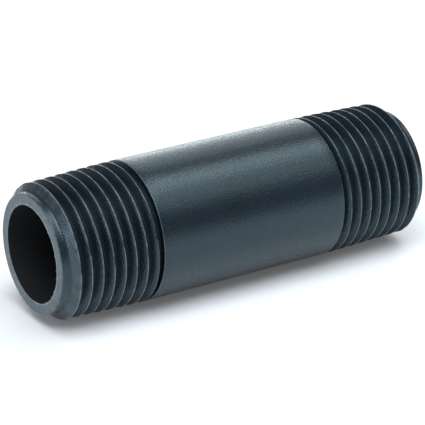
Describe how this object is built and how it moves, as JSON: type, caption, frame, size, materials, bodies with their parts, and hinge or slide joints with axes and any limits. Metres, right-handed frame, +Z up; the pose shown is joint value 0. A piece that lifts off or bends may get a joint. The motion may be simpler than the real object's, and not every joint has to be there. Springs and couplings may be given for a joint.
{
  "type": "threaded pipe nipple",
  "caption": "Short rigid plastic pipe with a tapered male pipe thread on each end and a through bore, for joining two female-threaded fittings.",
  "frame": {"origin": "on the bore axis, midway between the two end faces", "axes": "+X along the bore axis towards the right-hand end face, +Z up with the nipple lying on its side"},
  "size_m": [0.0636, 0.0214, 0.0214],
  "materials": {
    "pvc_body": "satin charcoal-grey moulded PVC with a fine grain"
  },
  "bodies": {
    "root": {"pipe_nipple": "pvc_body"}
  },
  "joints": []
}
